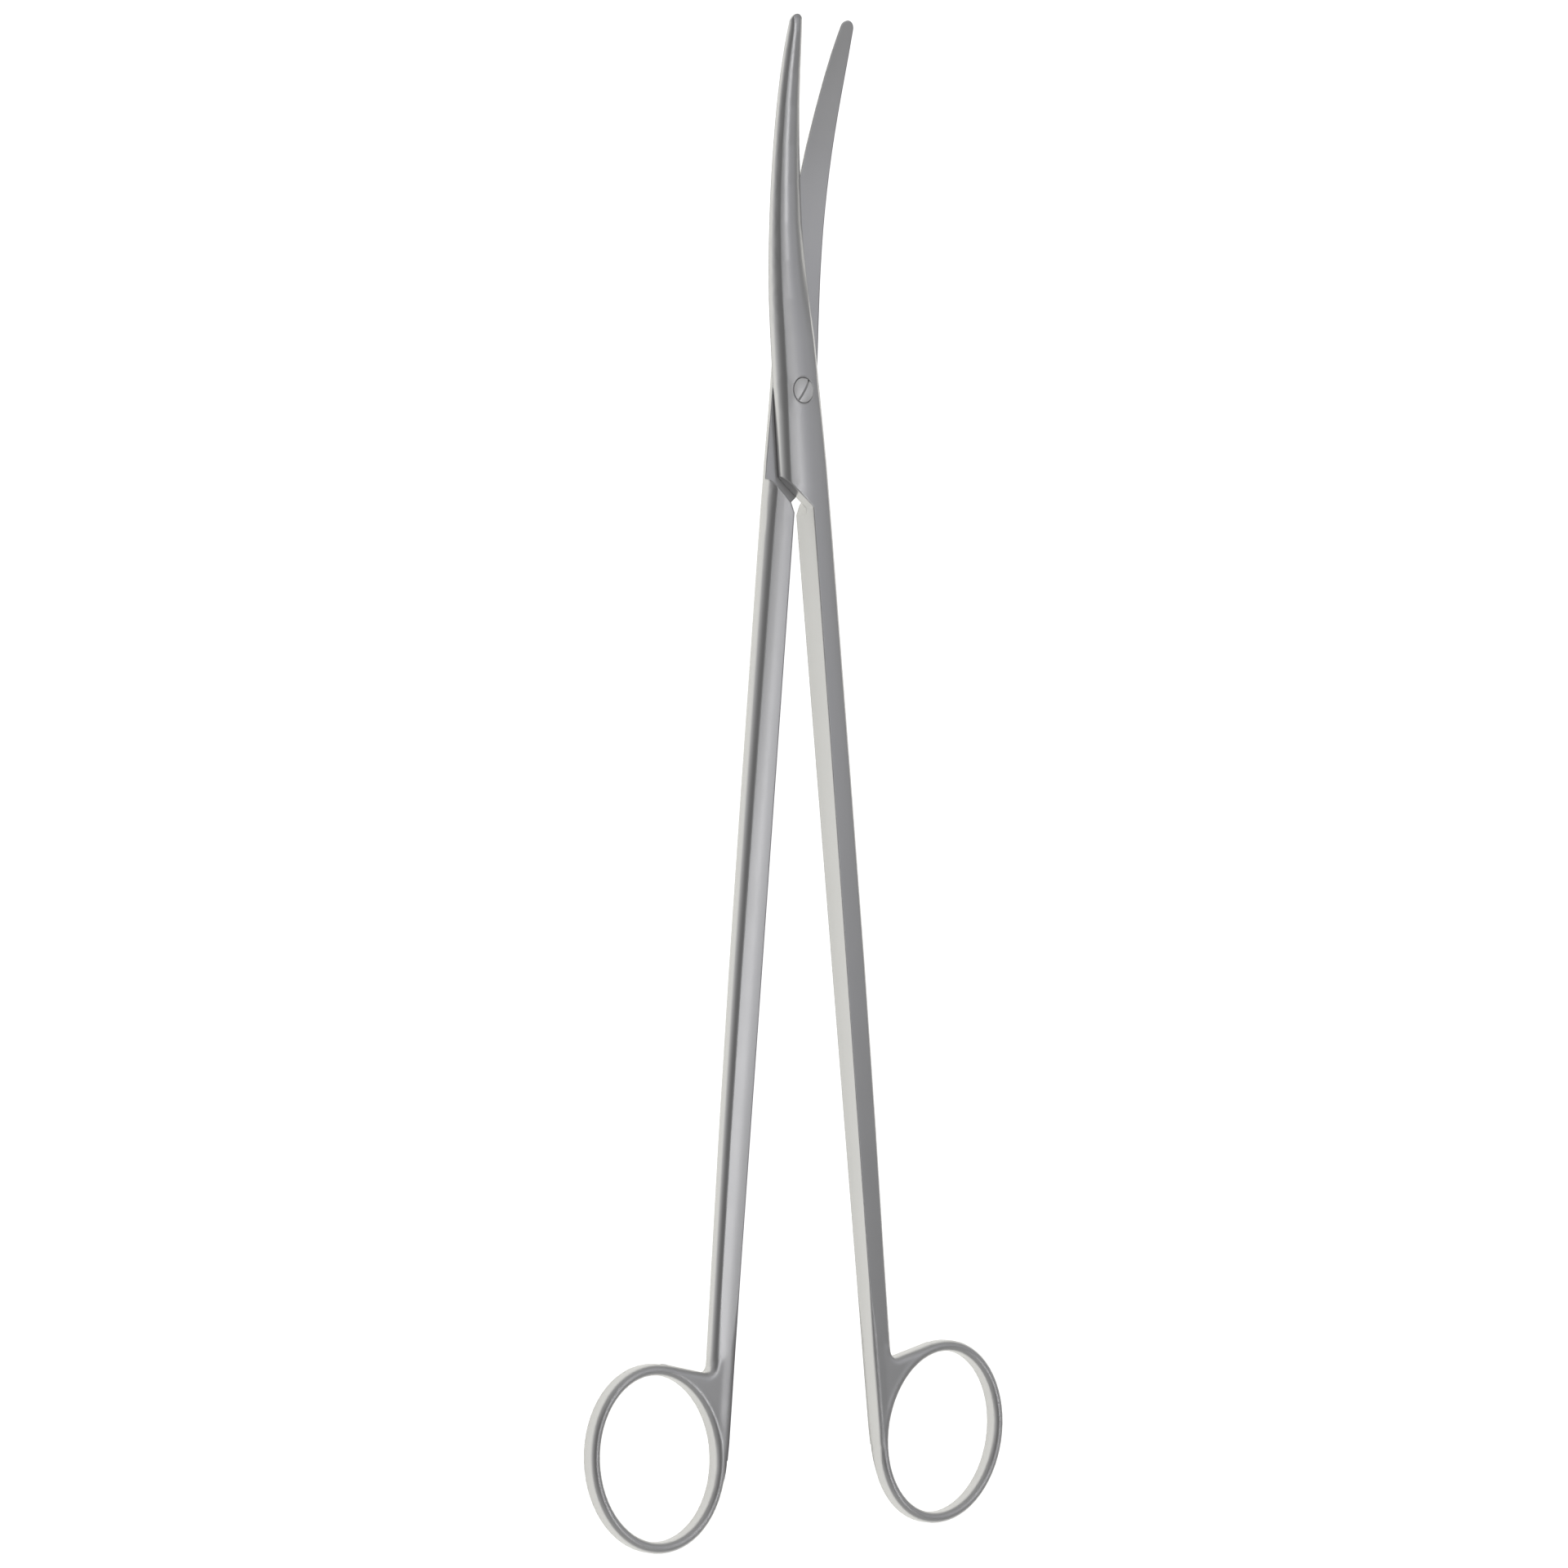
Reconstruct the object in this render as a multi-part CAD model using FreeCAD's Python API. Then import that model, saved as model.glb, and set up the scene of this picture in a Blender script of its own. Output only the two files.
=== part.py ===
import FreeCAD, Part
import math
import os
from FreeCAD import Vector

# Dissecting scissors with curved blades, lying on their back.
# Millimetres. The pivot axis is Z, the back of the joint lies on z = 0.
# X is across, +Y runs towards the tips, the screw head faces +Z.
# Everything is drawn closed, then each half is swung open about the pivot.

# Overall sizes
blade_reach = 68.6
joint_thickness = 5.4
half_opening = 5.32
inner_gap = 0.29
rest_flat_depth = 0.08

# Mating faces: flat round the pivot, then an arc that lifts the tips
mating_clearance = 0.04
flat_radius = 14.0
curve_radius = 172.0
mating_limit = 80.0

# Cross sections of the blanks: distance along Y, then the size there
outline_widths = [
    (-214.0, 5.0),
    (-200.0, 5.1),
    (-176.0, 5.25),
    (-161.0, 5.45),
    (-143.0, 5.72),
    (-116.0, 5.95),
    (-90.0, 6.02),
    (-60.0, 5.9),
    (-30.0, 5.82),
    (-16.0, 5.72),
    (-9.0, 5.54),
    (0.0, 5.3),
]
spine_widths = [
    (0.0, 5.3),
    (8.0, 4.98),
    (15.0, 4.68),
    (21.0, 4.36),
    (27.0, 3.96),
    (33.0, 3.62),
    (39.0, 3.29),
    (45.0, 2.99),
    (51.0, 2.72),
    (57.0, 2.42),
    (62.5, 2.04),
    (70.0, 1.2),
]
edge_widths = [
    (0.0, 5.3),
    (5.0, 5.26),
    (10.0, 5.14),
    (15.0, 4.95),
    (21.0, 4.68),
    (27.0, 4.26),
    (33.0, 3.88),
    (39.0, 3.62),
    (45.0, 3.27),
    (51.0, 2.86),
    (57.0, 2.46),
    (62.5, 2.05),
    (70.0, 1.2),
]
thicknesses = [
    (-214.0, 0.5),
    (-207.0, 1.1),
    (-202.0, 2.1),
    (-198.0, 3.0),
    (-194.0, 3.42),
    (-188.0, 3.46),
    (-176.0, 3.5),
    (-150.0, 3.76),
    (-110.0, 4.24),
    (-60.0, 4.8),
    (-24.0, 5.2),
    (-6.0, joint_thickness),
    (6.0, joint_thickness),
    (20.0, 4.85),
    (33.0, 3.94),
    (48.0, 3.3),
    (60.0, 2.8),
    (63.0, 2.62),
    (65.0, 2.42),
    (66.4, 2.1),
    (67.4, 1.66),
    (68.1, 1.15),
    (68.6, 0.62),
    (69.0, 0.4),
]
belly_fractions = [
    (-194.0, 0.5),
    (-176.0, 0.52),
    (-40.0, 0.53),
    (-8.0, 0.53),
    (6.0, 0.5),
]
shank_crown_angles = [
    (-176.0, 9.0),
    (-120.0, 11.0),
    (-45.0, 15.0),
    (6.0, 16.0),
]
section_stations = [
    -214.0, -203.0, -198.0, -194.0, -188.0, -178.0, -162.0, -138.0, -108.0, -76.0, -48.0,
    -28.0, -14.0, -5.0, 3.0, 10.0, 17.0, 24.0, 31.0, 38.0, 45.0, 52.0, 58.0, 62.5, 65.4,
    66.9, 67.8, 68.4, 69.0,
]
blade_crown_angle = 20.0
spine_roundness = 0.9
crown_thickness = 2.6

# Cutting edge flank: from the heel, the rounded side shrinks to a narrow bevel
heel_end = 6.0
flank_end = 36.0
flank_width = 0.22
flank_height = 0.55
flank_roundness = 0.05

# Blade tip
tip_cap = 1.7

# Lap and shoulder outlines, in the closed plan of the front half
lap_corner = (-5.25, -16.15)
crotch_y = -21.7
crotch_round = 0.6
shoulder_outer = (5.3, -17.5)
shoulder_inner = (1.2, -21.1)
shoulder_end_y = -22.9
shoulder_round = 1.2

# Finger rings
ring_centre_y = -197.1
ring_half_width = 14.325
ring_half_length = 16.265
ring_tilt = -22.0
ring_band = 2.06
ring_thickness = 3.5
ring_wall_set_in = 0.04
horn_set_in = 0.06

# Web between the shank and the top of the ring
web_corner_y = -181.5
web_end = (15.5, -180.05)
web_inset = 0.3
web_round = 1.4
web_edge_round = 1.1
web_sink = 0.12
web_lead = 2.4
web_foot = 2.4

# Pivot screw
head_diameter = 4.6
head_thickness = 0.95
head_dome = 0.4
head_recess = 1.1
head_clearance = 0.07
head_seat_clearance = 0.02
rim_flare = 0.1
rim_flare_depth = 0.28
slot_width = 0.45
slot_depth = 0.75
slot_angle = 57.0
journal_diameter = 3.2
journal_clearance = 0.03
thread_diameter = 2.6

middle = joint_thickness / 2.0
reach = 40.0
plan_limit = 400.0
floor_depth = 10.0
ceiling = 40.0


def smooth(table, position):
    """Reads a smooth curve through the rows of a table."""
    if position <= table[0][0]:
        return table[0][1]
    if position >= table[-1][0]:
        return table[-1][1]
    slopes = []
    for index in range(len(table)):
        low = table[max(index - 1, 0)]
        high = table[min(index + 1, len(table) - 1)]
        slopes.append((high[1] - low[1]) / (high[0] - low[0]))
    index = 0
    while table[index + 1][0] < position:
        index += 1
    start, end = table[index], table[index + 1]
    span = end[0] - start[0]
    t = (position - start[0]) / span
    return (
        start[1] * (1 + 2 * t) * (1 - t) ** 2
        + end[1] * t * t * (3 - 2 * t)
        + span * slopes[index] * t * (1 - t) ** 2
        - span * slopes[index + 1] * t * t * (1 - t)
    )


def mating_height(radius):
    """Height of the mating faces at a distance from the pivot."""
    beyond = max(radius - flat_radius, 0.0)
    return middle + curve_radius - math.sqrt(curve_radius ** 2 - beyond ** 2)


def end_radius(half_width, height, slope):
    """Radius of the rounded side of a crowned section."""
    lean = math.tan(slope / 2)
    return (height - lean * half_width) / (math.cos(slope) - lean * (1 - math.sin(slope)))


def upper_side(y, height):
    """Three arcs, left to right, over a half section of the given height."""
    spine = smooth(outline_widths if y <= 0.0 else spine_widths, y)
    edge = spine if y <= 0.0 else smooth(edge_widths, y)
    blade = min(max((y - heel_end) / (flank_end - heel_end), 0.0), 1.0)
    blade = blade * blade * (3 - 2 * blade)
    shank_crown = smooth(shank_crown_angles, y)
    slope = math.radians(shank_crown + blade * (blade_crown_angle - shank_crown))
    slope *= min(1.0, smooth(thicknesses, y) / crown_thickness)
    side = end_radius(spine, height, slope) * (1 - blade) + blade * spine_roundness * height
    turn = (math.pi / 2 - slope) / 2
    spine_top = Vector(-spine + side * (1 - math.sin(slope)), 0, side * math.cos(slope))
    spine_middle = Vector(-spine + side * (1 - math.cos(turn)), 0, side * math.sin(turn))
    taper = min(1.0, smooth(thicknesses, y) / smooth(thicknesses, flank_end)) if y > 0.0 else 1.0
    flank = Vector(side * (1 - math.sin(slope)), 0, side * math.cos(slope)) * (1 - blade)
    flank += Vector(flank_width, 0, flank_height) * blade * taper
    edge_end = Vector(edge, 0, 0)
    edge_top = Vector(edge - flank.x, 0, flank.z)
    bulge = flank.Length / 2 * math.tan(turn / 2) * (1 - (1 - flank_roundness) * blade)
    edge_middle = (edge_top + edge_end) * 0.5 + Vector(flank.z, 0, flank.x).normalize() * bulge
    # the crown leaves the rounded spine in its own direction
    chord = edge_top - spine_top
    inward = Vector(math.sin(slope), 0, -math.cos(slope))
    radius = chord.Length ** 2 / (2 * chord.dot(inward))
    centre = spine_top + inward * radius
    crown = centre + ((spine_top + edge_top) * 0.5 - centre).normalize() * radius
    return [
        [Vector(-spine, 0, 0), spine_middle, spine_top],
        [spine_top, crown, edge_top],
        [edge_top, edge_middle, edge_end],
    ]


def blank_section(y):
    """One crowned section of the closed scissors, with the front half's blade shape."""
    thickness = smooth(thicknesses, y) + rest_flat_depth
    fraction = smooth(belly_fractions, y)
    if y <= 0.0:
        belly = fraction * thickness
        bottom = max((ring_thickness - thickness) / 2, -rest_flat_depth)
        centre = bottom + belly
        above = thickness - belly
    else:
        belly = thickness / 2 + (fraction - 0.5) * joint_thickness
        centre = mating_height(y) + (fraction - 0.5) * joint_thickness - rest_flat_depth / 2
        above = thickness - belly
    edges = []
    for points in upper_side(y, above):
        edges.append(Part.Arc(*[Vector(p.x, y, centre + p.z) for p in points]).toShape())
    for points in reversed(upper_side(y, belly)):
        edges.append(Part.Arc(*[Vector(p.x, y, centre - p.z) for p in reversed(points)]).toShape())
    return Part.Wire(edges)


def make_blank():
    """The front half's blank: its blade, lap and shank in one lofted piece."""
    return Part.makeLoft([blank_section(y) for y in section_stations], True, True)


def prism(points, low=-floor_depth, high=ceiling):
    """Vertical prism over a plan outline; a third number rounds that corner."""
    count = len(points)
    starts, ends, edges = [], [], []
    for index, point in enumerate(points):
        here = Vector(point[0], point[1], low)
        before = Vector(points[index - 1][0], points[index - 1][1], low)
        after = Vector(points[(index + 1) % count][0], points[(index + 1) % count][1], low)
        backward = (before - here).normalize()
        onward = (after - here).normalize()
        if len(point) > 2:
            half = backward.getAngle(onward) / 2
            trim = point[2] / math.tan(half)
            bisector = (backward + onward).normalize()
            through = here + bisector * (point[2] / math.sin(half) - point[2])
            starts.append(here + backward * trim)
            ends.append(here + onward * trim)
            edges.append(Part.Arc(starts[-1], through, ends[-1]).toShape())
        else:
            starts.append(here)
            ends.append(here)
    for index in range(count):
        edges.append(Part.makeLine(ends[index - 1], starts[index]))
    outline = Part.Wire(Part.__sortEdges__(edges))
    return Part.Face(outline).extrude(Vector(0, 0, high - low))


def ellipse_edge(half_x, half_y, centre, tilt, height):
    """Ellipse lying flat at a height."""
    edge = Part.Ellipse(Vector(0, 0, 0), max(half_x, half_y), min(half_x, half_y)).toShape()
    edge.rotate(Vector(0, 0, 0), Vector(0, 0, 1), tilt + (90 if half_y > half_x else 0))
    edge.translate(Vector(centre[0], centre[1], height))
    return edge


def ellipse_prism(half_x, half_y, centre, tilt, low=-floor_depth, high=ceiling):
    outline = Part.Wire([ellipse_edge(half_x, half_y, centre, tilt, low)])
    return Part.Face(outline).extrude(Vector(0, 0, high - low))


def ring_half_extent(offset):
    """Half width along X of the tilted ring oval, grown by an offset."""
    turn = math.radians(ring_tilt)
    across = (ring_half_width + offset) * math.cos(turn)
    along = (ring_half_length + offset) * math.sin(turn)
    return math.hypot(across, along)


def ring_centre():
    """The ring's outer side just reaches the shank's inner side."""
    return (inner_gap + ring_wall_set_in + ring_half_extent(ring_band / 2), ring_centre_y)


def ring_prism(offset):
    return ellipse_prism(ring_half_width + offset, ring_half_length + offset, ring_centre(), ring_tilt)


def half_region():
    """Plan of the front half: blade, lap and shank, run round the outside of the ring."""
    slope = (crotch_y - lap_corner[1]) / (inner_gap - lap_corner[0])
    cap_start = blade_reach - tip_cap
    corners = [
        (inner_gap, ring_centre_y),
        (reach, ring_centre_y),
        (reach, cap_start),
        (-reach, cap_start),
        (-reach, lap_corner[1] - slope * (reach + lap_corner[0])),
        (inner_gap, crotch_y, crotch_round),
    ]
    tip_half_width = smooth(spine_widths, cap_start)
    cap = ellipse_prism(tip_half_width, tip_cap, (0.0, cap_start), 0.0)
    return prism(corners).fuse([cap, ring_prism(ring_band / 2 - horn_set_in)])


def shoulder_region():
    """Plan of the front half's full-thickness shank, beyond its shoulder."""
    slope = (shoulder_inner[1] - shoulder_outer[1]) / (shoulder_inner[0] - shoulder_outer[0])
    corners = [
        (-inner_gap, shoulder_end_y - mating_limit),
        (reach, shoulder_end_y - mating_limit),
        (reach, shoulder_outer[1] + slope * (reach - shoulder_outer[0])),
        (shoulder_inner[0], shoulder_inner[1], shoulder_round),
        (inner_gap, shoulder_end_y),
        (-inner_gap, shoulder_end_y - (shoulder_inner[1] - shoulder_end_y)),
    ]
    return prism(corners)


def mating_solid(offset, side):
    """Solid of revolution on one side of the mating faces: side -1 below them, 1 above."""
    limit = middle + side * ceiling
    steps = [flat_radius + (mating_limit - flat_radius) * k / 2.0 for k in range(3)]
    curve = [Vector(radius, 0, mating_height(radius) + offset) for radius in steps]
    corners = [
        curve[2],
        Vector(mating_limit, 0, limit),
        Vector(0, 0, limit),
        Vector(0, 0, middle + offset),
        curve[0],
    ]
    edges = [Part.Arc(*curve).toShape()]
    for start, end in zip(corners, corners[1:]):
        edges.append(Part.makeLine(start, end))
    return Part.Face(Part.Wire(edges)).revolve(Vector(0, 0, 0), Vector(0, 0, 1), 360)


def make_ring():
    """Finger ring of the front half: a rounded band swept round an oval."""
    base = ring_thickness / 2
    path = ellipse_edge(ring_half_width, ring_half_length, ring_centre(), ring_tilt, base)
    start = path.valueAt(path.FirstParameter)
    along = path.tangentAt(path.FirstParameter)
    across = Vector(along.y, -along.x, 0).normalize() * (ring_band / 2)
    crest = Vector(0, 0, base)
    rise = crest - Vector(0, 0, ring_band / 2)
    section = Part.Wire([
        Part.makeLine(start + across - rise, start + across + rise),
        Part.Arc(start + across + rise, start + crest, start - across + rise).toShape(),
        Part.makeLine(start - across + rise, start - across - rise),
        Part.Arc(start - across - rise, start - crest, start + across - rise).toShape(),
    ])
    return Part.Wire([path]).makePipeShell([section], True, True)


def make_web():
    """Web that fills the corner between the shank and the top of the ring."""
    side = smooth(outline_widths, web_corner_y) - web_inset
    corners = [
        (side - web_foot, web_corner_y + 2 * web_lead),
        (side, web_corner_y + web_lead, web_round),
        (side, web_corner_y, web_round),
        web_end,
        (web_end[0], ring_centre_y),
        (side - web_foot, ring_centre_y),
    ]
    web = prism(corners, web_sink, ring_thickness - web_sink)
    rims = []
    for edge in web.Edges:
        halfway = (edge.FirstParameter + edge.LastParameter) / 2
        spot = edge.valueAt(halfway)
        course = edge.tangentAt(halfway)
        flat = abs(course.z) < abs(course.x) + abs(course.y)
        outer = spot.y > web_corner_y - web_round and side - web_foot < spot.x < web_end[0]
        if flat and outer:
            rims.append(edge)
    return web.makeFillet(web_edge_round, rims)


def make_half_blank():
    """Front half's blank, closed, before its mating face is cut."""
    return make_blank().common(half_region()).cut(ring_prism(0.0))


def mirrored(shape):
    return shape.mirror(Vector(0, 0, 0), Vector(1, 0, 0))


def make_half(blank, front):
    """One half, closed: mating face, shoulder, web and finger ring."""
    pieces = [blank, shoulder_region(), make_web().cut(ring_prism(0.0)), make_ring()]
    if not front:
        pieces = [mirrored(piece) for piece in pieces]
    shape, shoulder, web, ring = pieces
    side = -1 if front else 1
    cutter = mating_solid(-side * mating_clearance / 2, side).cut(shoulder)
    below = prism([
        (-plan_limit, -plan_limit),
        (plan_limit, -plan_limit),
        (plan_limit, plan_limit),
        (-plan_limit, plan_limit),
    ], -floor_depth, 0.0)
    return shape.cut(cutter).cut(below).fuse([web, ring])


def head_floor():
    return joint_thickness - head_recess


def make_screw():
    """Pivot screw: domed slotted head, plain journal and threaded end."""
    seat = head_floor() + head_seat_clearance
    rim = seat + head_thickness
    profile = [
        Vector(0, 0, rim + head_dome),
        Vector(0, 0, seat),
        Vector(head_diameter / 2, 0, seat),
        Vector(head_diameter / 2, 0, rim),
    ]
    dome_radius = ((head_diameter / 2) ** 2 + head_dome ** 2) / (2 * head_dome)
    turn = math.asin(head_diameter / 2 / dome_radius) / 2
    crown = Vector(dome_radius * math.sin(turn), 0, rim + head_dome - dome_radius * (1 - math.cos(turn)))
    edges = [Part.Arc(profile[-1], crown, profile[0]).toShape()]
    for start, end in zip(profile, profile[1:]):
        edges.append(Part.makeLine(start, end))
    outline = Part.Wire(Part.__sortEdges__(edges))
    head = Part.Face(outline).revolve(Vector(0, 0, 0), Vector(0, 0, 1), 360)
    slot = Part.makeBox(2 * head_diameter, slot_width, 2 * slot_depth)
    slot.translate(Vector(-head_diameter, -slot_width / 2, rim + head_dome - slot_depth))
    slot.rotate(Vector(0, 0, 0), Vector(0, 0, 1), slot_angle)
    step = middle - mating_clearance / 2
    journal = Part.makeCylinder(journal_diameter / 2, seat - step, Vector(0, 0, step))
    thread = Part.makeCylinder(thread_diameter / 2, step)
    return head.cut(slot).fuse([journal, thread])


def bore_front(shape):
    """Journal hole and chamfered counterbore for the screw head."""
    recess = head_diameter / 2 + head_clearance
    hole = Part.makeCylinder(journal_diameter / 2 + journal_clearance, joint_thickness)
    counterbore = Part.makeCylinder(recess, ceiling, Vector(0, 0, head_floor()))
    flare_start = Vector(0, 0, joint_thickness - rim_flare_depth)
    flare = Part.makeCone(recess, recess + rim_flare, rim_flare_depth, flare_start)
    return shape.cut(hole.fuse([counterbore, flare]))


def bore_back(shape):
    """Threaded hole, drawn plain at the thread's own diameter."""
    return shape.cut(Part.makeCylinder(thread_diameter / 2, joint_thickness))


os.makedirs("parts", exist_ok=True)

half_blank = make_half_blank()
parts = {
    "front_half": bore_front(make_half(half_blank, True)),
    "back_half": bore_back(make_half(half_blank, False)),
    "pivot_screw": make_screw(),
}
parts["front_half"].rotate(Vector(0, 0, 0), Vector(0, 0, 1), half_opening)
parts["back_half"].rotate(Vector(0, 0, 0), Vector(0, 0, 1), -half_opening)
for name, shape in parts.items():
    shape.exportStep(f"parts/{name}.step")
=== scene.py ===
import math

import bpy
from mathutils import Matrix, Vector

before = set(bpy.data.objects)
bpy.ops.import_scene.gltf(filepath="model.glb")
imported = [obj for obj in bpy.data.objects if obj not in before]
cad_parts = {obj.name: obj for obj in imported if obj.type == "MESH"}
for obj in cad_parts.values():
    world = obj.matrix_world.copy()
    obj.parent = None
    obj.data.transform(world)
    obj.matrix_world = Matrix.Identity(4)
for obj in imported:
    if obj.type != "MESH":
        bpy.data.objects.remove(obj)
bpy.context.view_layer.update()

# The photograph's camera: metres, degrees and pixels of a 1920 by 1920 image
IMAGE_SIZE = 1920.0
FOCAL_PIXELS = 6473.1
CAMERA_TARGET = Vector((-0.0030154, -0.0727771, 0.0023))
CAMERA_DISTANCE = 0.97615
CAMERA_SIDE = math.radians(40.0333)
CAMERA_PITCH = math.radians(1.3772)
CAMERA_ROLL = math.radians(-0.4277)
SENSOR = 36.0
CLIP_NEAR = 0.05
CLIP_FAR = 50.0

# Lights: name, place, size in metres, power in watts, colour
NEUTRAL = (0.98, 0.98, 1.0)
COOL = (0.91, 0.92, 1.0)
LIGHTS = [
    ("key_light", (0.66, -0.43, 1.5), (0.24, 1.05), 1.66, NEUTRAL),
    ("joint_light", (0.46, 0.38, 1.5), (0.20, 0.50), 0.36, NEUTRAL),
    ("side_light", (1.06, 0.34, 1.5), (0.56, 1.10), 0.66, COOL),
    ("fill_light", (2.36, 0.32, 1.5), (2.00, 1.10), 1.55, COOL),
]

# The studio walls: share of the way from the left to the right, then the brightness
WALL_LEVELS = [
    (0.0, 0.74),
    (0.03, 0.54),
    (0.07, 0.42),
    (0.18, 0.24),
    (0.35, 0.175),
    (0.52, 0.16),
    (0.70, 0.19),
    (0.85, 0.24),
    (1.0, 0.30),
]

# The walls past the tips and past the rings: where they begin, where they are full, brightness
END_WALL_START = 0.30
END_WALL_FULL = 0.60
END_WALL_LEVEL = 0.40

# The table top: metres, then its own grey, the glow that makes it white and the glow's
# colour where the steel mirrors it
FLOOR_SIZE = 30.0
FLOOR_DROP = 0.0002
FLOOR_GREY = 0.85
FLOOR_GLOW = 0.85
MIRRORED_GLOW = (0.91, 0.905, 0.85, 1)

# Steel: noise scales per metre, shares of the tone and the roughness, the grain's depth in metres
GRAIN_STRETCH = (1.0, 0.04, 1.0)
GRAIN_SCALE = 5000.0
GRAIN_DETAIL = 2.0
GRAIN_STRENGTH = 0.05
GRAIN_DEPTH = 0.000004
BLOTCH_SCALE = 90.0
BLOTCH_DETAIL = 3.0
TONE_SPREAD = 0.03
ROUGHNESS_SPREAD = 0.03
HALF_COLOUR = (0.612, 0.611, 0.612)
HALF_ROUGHNESS = 0.30
# The screw is the same steel as the halves, made paler here: a painted highlight that brightens
# the domed head all over
SCREW_PAINTED_BRIGHT_COLOUR = (0.90, 0.90, 0.90)
SCREW_ROUGHNESS = 0.45

# Softened edges: place along the scissors from the rings to the tips, then the radius
STATION_START = -0.22
STATION_SPAN = 0.30
EDGE_UNIT = 0.002
EDGE_SAMPLES = 12
HALF_EDGES = [
    (-0.22, 0.0015),
    (-0.176, 0.0015),
    (-0.166, 0.0003),
    (0.01, 0.0005),
    (0.03, 0.0003),
]
SCREW_EDGES = [(0.0, 0.00005)]


def make_camera():
    """Camera that looks down on the scissors from their left, tips up."""
    sin_side, cos_side = math.sin(CAMERA_SIDE), math.cos(CAMERA_SIDE)
    sin_pitch, cos_pitch = math.sin(CAMERA_PITCH), math.cos(CAMERA_PITCH)
    back = Vector((-sin_side, -cos_side * sin_pitch, cos_side * cos_pitch))
    level = Vector((cos_side, -sin_side * sin_pitch, sin_side * cos_pitch))
    tips = Vector((0.0, cos_pitch, sin_pitch))
    right = level * math.cos(CAMERA_ROLL) - tips * math.sin(CAMERA_ROLL)
    up = level * math.sin(CAMERA_ROLL) + tips * math.cos(CAMERA_ROLL)
    data = bpy.data.cameras.new("camera")
    data.sensor_fit = "HORIZONTAL"
    data.sensor_width = SENSOR
    data.lens = FOCAL_PIXELS / IMAGE_SIZE * SENSOR
    data.clip_start = CLIP_NEAR
    data.clip_end = CLIP_FAR
    camera = bpy.data.objects.new("camera", data)
    bpy.context.scene.collection.objects.link(camera)
    turn = Matrix((right, up, back)).transposed().to_4x4()
    camera.matrix_world = Matrix.Translation(CAMERA_TARGET + back * CAMERA_DISTANCE) @ turn
    bpy.context.scene.camera = camera


def area_light(name, place, size, power, colour):
    """Rectangular soft light that hangs level and shines straight down."""
    data = bpy.data.lights.new(name, "AREA")
    data.shape = "RECTANGLE"
    data.size, data.size_y = size
    data.energy = power
    data.color = colour
    lamp = bpy.data.objects.new(name, data)
    bpy.context.scene.collection.objects.link(lamp)
    lamp.location = place


def grey(level):
    return (level, level, level, 1)


def fill_ramp(ramp, rows):
    """Set a new colour ramp's stops from rows of position and grey level."""
    stops = ramp.color_ramp.elements
    stops.remove(stops[1])
    for index, (position, level) in enumerate(rows):
        stop = stops[0] if index == 0 else stops.new(position)
        stop.position = position
        stop.color = grey(level)


def make_world():
    """Grey studio, darkest overhead, brighter low on the left and past both ends."""
    world = bpy.data.worlds.new("studio")
    bpy.context.scene.world = world
    world.use_nodes = True
    nodes, links = world.node_tree.nodes, world.node_tree.links
    nodes.clear()
    output = nodes.new("ShaderNodeOutputWorld")
    background = nodes.new("ShaderNodeBackground")
    coords = nodes.new("ShaderNodeTexCoord")
    split = nodes.new("ShaderNodeSeparateXYZ")
    remap = nodes.new("ShaderNodeMapRange")
    remap.inputs["From Min"].default_value = -1.0
    remap.inputs["From Max"].default_value = 1.0
    ramp = nodes.new("ShaderNodeValToRGB")
    fill_ramp(ramp, WALL_LEVELS)
    lengthwise = nodes.new("ShaderNodeMath")
    lengthwise.operation = "ABSOLUTE"
    end_share = nodes.new("ShaderNodeMapRange")
    end_share.inputs["From Min"].default_value = END_WALL_START
    end_share.inputs["From Max"].default_value = END_WALL_FULL
    walls = nodes.new("ShaderNodeMix")
    walls.data_type = "RGBA"
    walls.inputs["B"].default_value = grey(END_WALL_LEVEL)
    links.new(coords.outputs["Generated"], split.inputs[0])
    links.new(split.outputs["X"], remap.inputs["Value"])
    links.new(remap.outputs["Result"], ramp.inputs["Fac"])
    links.new(split.outputs["Y"], lengthwise.inputs[0])
    links.new(lengthwise.outputs[0], end_share.inputs["Value"])
    links.new(end_share.outputs["Result"], walls.inputs["Factor"])
    links.new(ramp.outputs["Color"], walls.inputs["A"])
    links.new(walls.outputs["Result"], background.inputs["Color"])
    links.new(background.outputs[0], output.inputs["Surface"])


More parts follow.
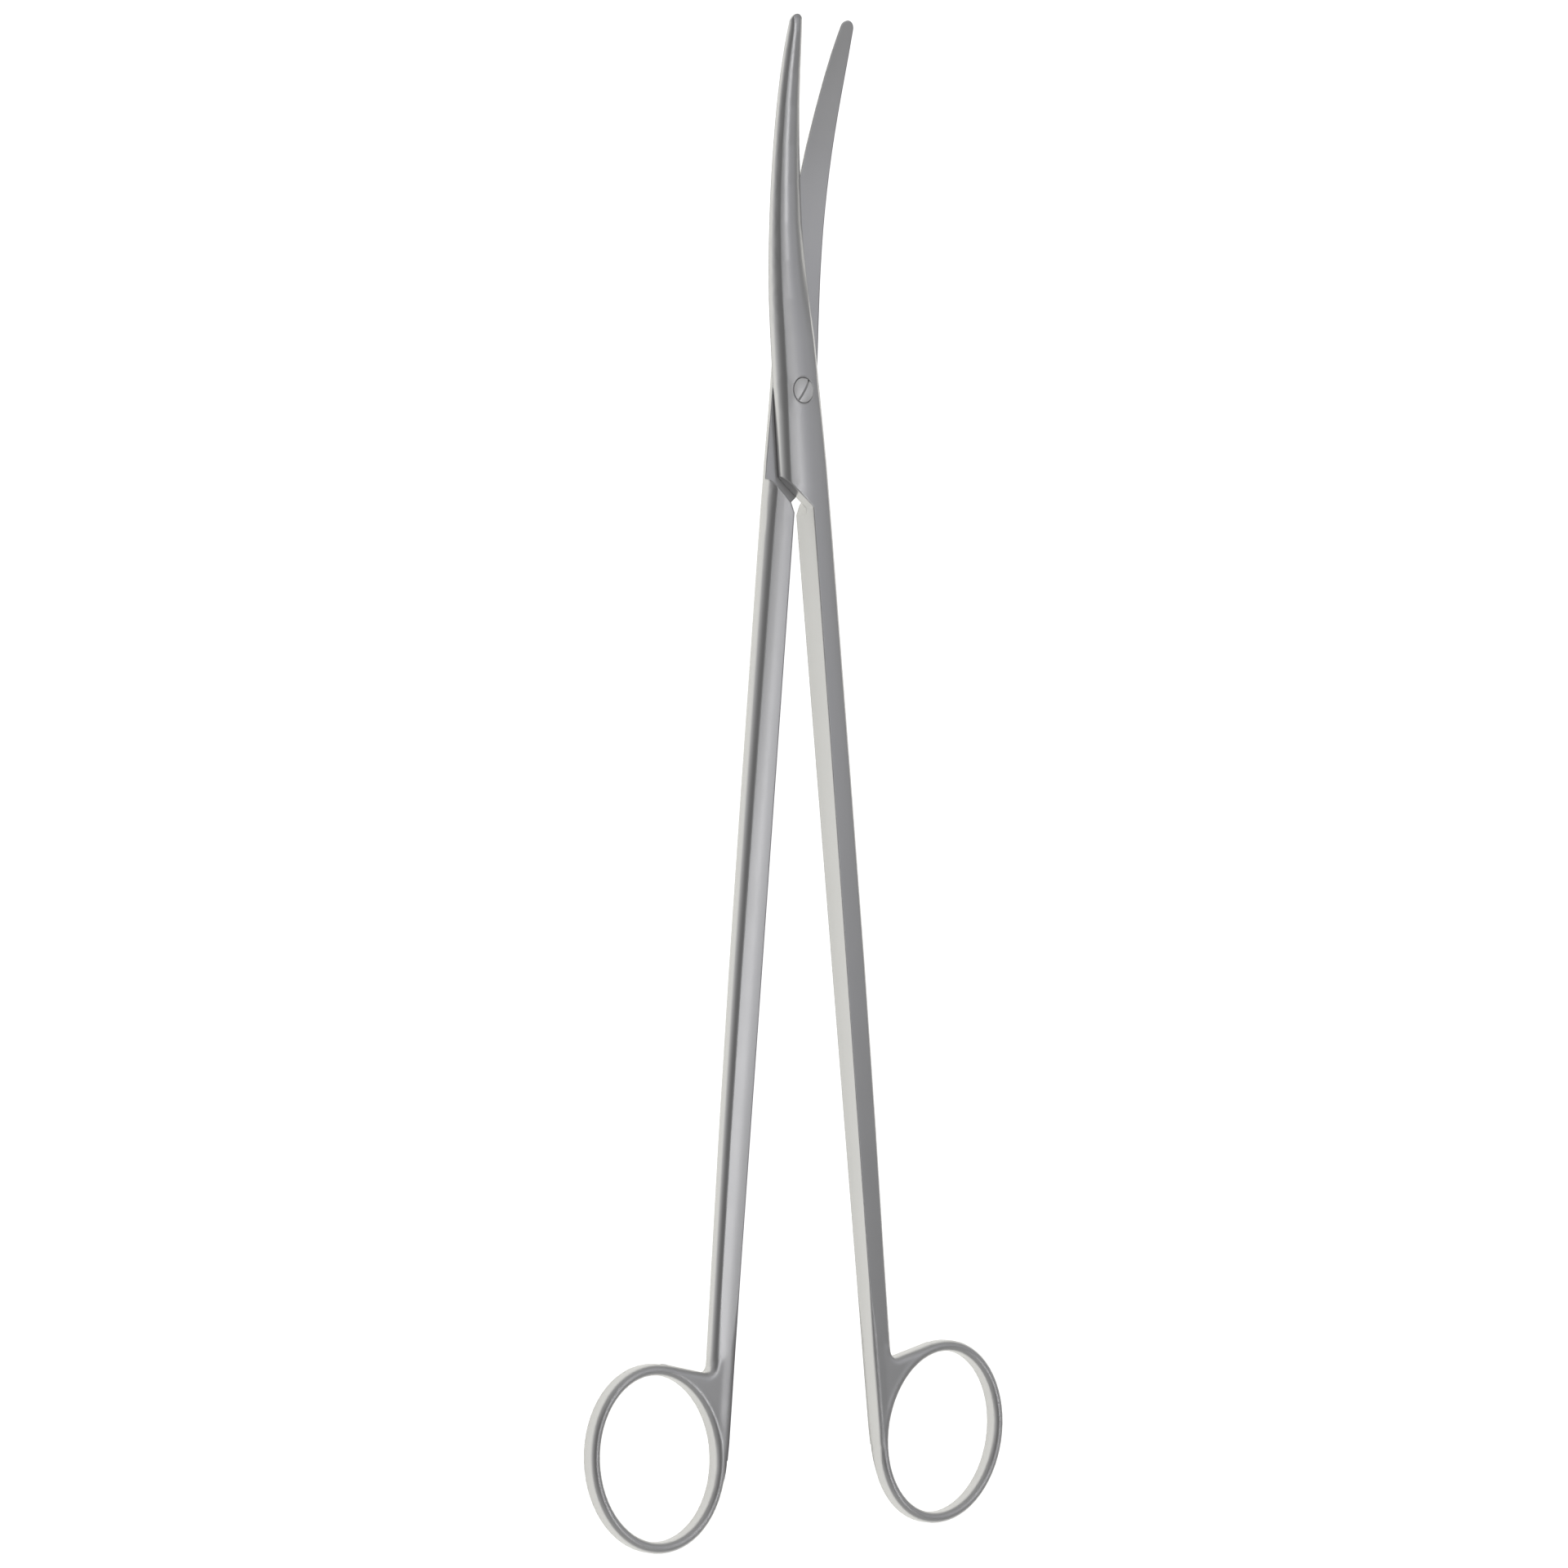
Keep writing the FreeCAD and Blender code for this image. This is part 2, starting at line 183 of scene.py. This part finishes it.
def floor_material():
    """White that glows for the camera and in reflections, and stays plain for shadows."""
    material = bpy.data.materials.new("floor_white")
    material.use_nodes = True
    nodes, links = material.node_tree.nodes, material.node_tree.links
    nodes.clear()
    output = nodes.new("ShaderNodeOutputMaterial")
    diffuse = nodes.new("ShaderNodeBsdfDiffuse")
    diffuse.inputs["Color"].default_value = grey(FLOOR_GREY)
    glow = nodes.new("ShaderNodeEmission")
    seen = nodes.new("ShaderNodeLightPath")
    either = nodes.new("ShaderNodeMath")
    either.operation = "MAXIMUM"
    through = nodes.new("ShaderNodeMath")
    through.operation = "MAXIMUM"
    share = nodes.new("ShaderNodeMath")
    share.operation = "MULTIPLY"
    share.inputs[1].default_value = FLOOR_GLOW
    warm = nodes.new("ShaderNodeMix")
    warm.data_type = "RGBA"
    warm.inputs["A"].default_value = MIRRORED_GLOW
    warm.inputs["B"].default_value = grey(1.0)
    both = nodes.new("ShaderNodeAddShader")
    links.new(seen.outputs["Is Camera Ray"], either.inputs[0])
    links.new(seen.outputs["Is Glossy Ray"], either.inputs[1])
    links.new(either.outputs[0], through.inputs[0])
    links.new(seen.outputs["Is Transmission Ray"], through.inputs[1])
    links.new(through.outputs[0], share.inputs[0])
    links.new(seen.outputs["Is Camera Ray"], warm.inputs["Factor"])
    links.new(warm.outputs["Result"], glow.inputs["Color"])
    links.new(share.outputs[0], glow.inputs["Strength"])
    links.new(diffuse.outputs[0], both.inputs[0])
    links.new(glow.outputs[0], both.inputs[1])
    links.new(both.outputs[0], output.inputs["Surface"])
    return material


def make_floor():
    """White table top that keeps a soft shadow."""
    bpy.ops.mesh.primitive_plane_add(size=FLOOR_SIZE, location=(0, 0, -FLOOR_DROP))
    floor = bpy.context.object
    floor.name = "floor"
    floor.data.materials.append(floor_material())


def edge_radius(nodes, links, coords, edge_radii):
    """Socket with the radius of the softened edges at each place along the scissors."""
    split = nodes.new("ShaderNodeSeparateXYZ")
    along = nodes.new("ShaderNodeMapRange")
    along.inputs["From Min"].default_value = STATION_START
    along.inputs["From Max"].default_value = STATION_START + STATION_SPAN
    rounding = nodes.new("ShaderNodeValToRGB")
    rows = []
    for station, radius in edge_radii:
        rows.append(((station - STATION_START) / STATION_SPAN, radius / EDGE_UNIT))
    fill_ramp(rounding, rows)
    to_metres = nodes.new("ShaderNodeMath")
    to_metres.operation = "MULTIPLY"
    to_metres.inputs[1].default_value = EDGE_UNIT
    links.new(coords.outputs["Object"], split.inputs[0])
    links.new(split.outputs["Y"], along.inputs["Value"])
    links.new(along.outputs["Result"], rounding.inputs["Fac"])
    links.new(rounding.outputs["Color"], to_metres.inputs[0])
    return to_metres.outputs[0]


def steel(name, colour, roughness, edge_radii):
    """Satin stainless steel with a fine lengthwise grain, faint blotches and softened edges."""
    material = bpy.data.materials.new(name)
    material.use_nodes = True
    nodes, links = material.node_tree.nodes, material.node_tree.links
    shader = nodes["Principled BSDF"]
    shader.inputs["Metallic"].default_value = 1.0
    coords = nodes.new("ShaderNodeTexCoord")
    stretch = nodes.new("ShaderNodeMapping")
    stretch.inputs["Scale"].default_value = GRAIN_STRETCH
    grain = nodes.new("ShaderNodeTexNoise")
    grain.inputs["Scale"].default_value = GRAIN_SCALE
    grain.inputs["Detail"].default_value = GRAIN_DETAIL
    blotch = nodes.new("ShaderNodeTexNoise")
    blotch.inputs["Scale"].default_value = BLOTCH_SCALE
    blotch.inputs["Detail"].default_value = BLOTCH_DETAIL
    tone = nodes.new("ShaderNodeMix")
    tone.data_type = "RGBA"
    tone.inputs["A"].default_value = (*[c * (1 - TONE_SPREAD) for c in colour], 1)
    tone.inputs["B"].default_value = (*[c * (1 + TONE_SPREAD) for c in colour], 1)
    rough = nodes.new("ShaderNodeMapRange")
    rough.inputs["To Min"].default_value = roughness - ROUGHNESS_SPREAD
    rough.inputs["To Max"].default_value = roughness + ROUGHNESS_SPREAD
    soft_edge = nodes.new("ShaderNodeBevel")
    soft_edge.samples = EDGE_SAMPLES
    bump = nodes.new("ShaderNodeBump")
    bump.inputs["Strength"].default_value = GRAIN_STRENGTH
    bump.inputs["Distance"].default_value = GRAIN_DEPTH
    links.new(coords.outputs["Object"], stretch.inputs["Vector"])
    links.new(stretch.outputs["Vector"], grain.inputs["Vector"])
    links.new(coords.outputs["Object"], blotch.inputs["Vector"])
    links.new(blotch.outputs["Fac"], tone.inputs["Factor"])
    links.new(blotch.outputs["Fac"], rough.inputs["Value"])
    links.new(grain.outputs["Fac"], bump.inputs["Height"])
    links.new(tone.outputs["Result"], shader.inputs["Base Color"])
    links.new(rough.outputs["Result"], shader.inputs["Roughness"])
    links.new(edge_radius(nodes, links, coords, edge_radii), soft_edge.inputs["Radius"])
    links.new(soft_edge.outputs["Normal"], bump.inputs["Normal"])
    links.new(bump.outputs["Normal"], shader.inputs["Normal"])
    return material


def dress(node, material):
    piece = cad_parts[node]
    piece.data.materials.clear()
    piece.data.materials.append(material)


make_camera()
for light in LIGHTS:
    area_light(*light)
make_world()
make_floor()
half_steel = steel("half_steel", HALF_COLOUR, HALF_ROUGHNESS, HALF_EDGES)
# The screw's steel is given the paler colour, a painted highlight on its head
screw_steel = steel("screw_steel", SCREW_PAINTED_BRIGHT_COLOUR, SCREW_ROUGHNESS, SCREW_EDGES)
dress("front_half", half_steel)
dress("back_half", half_steel)
dress("pivot_screw", screw_steel)

bpy.context.scene.view_settings.view_transform = "Standard"
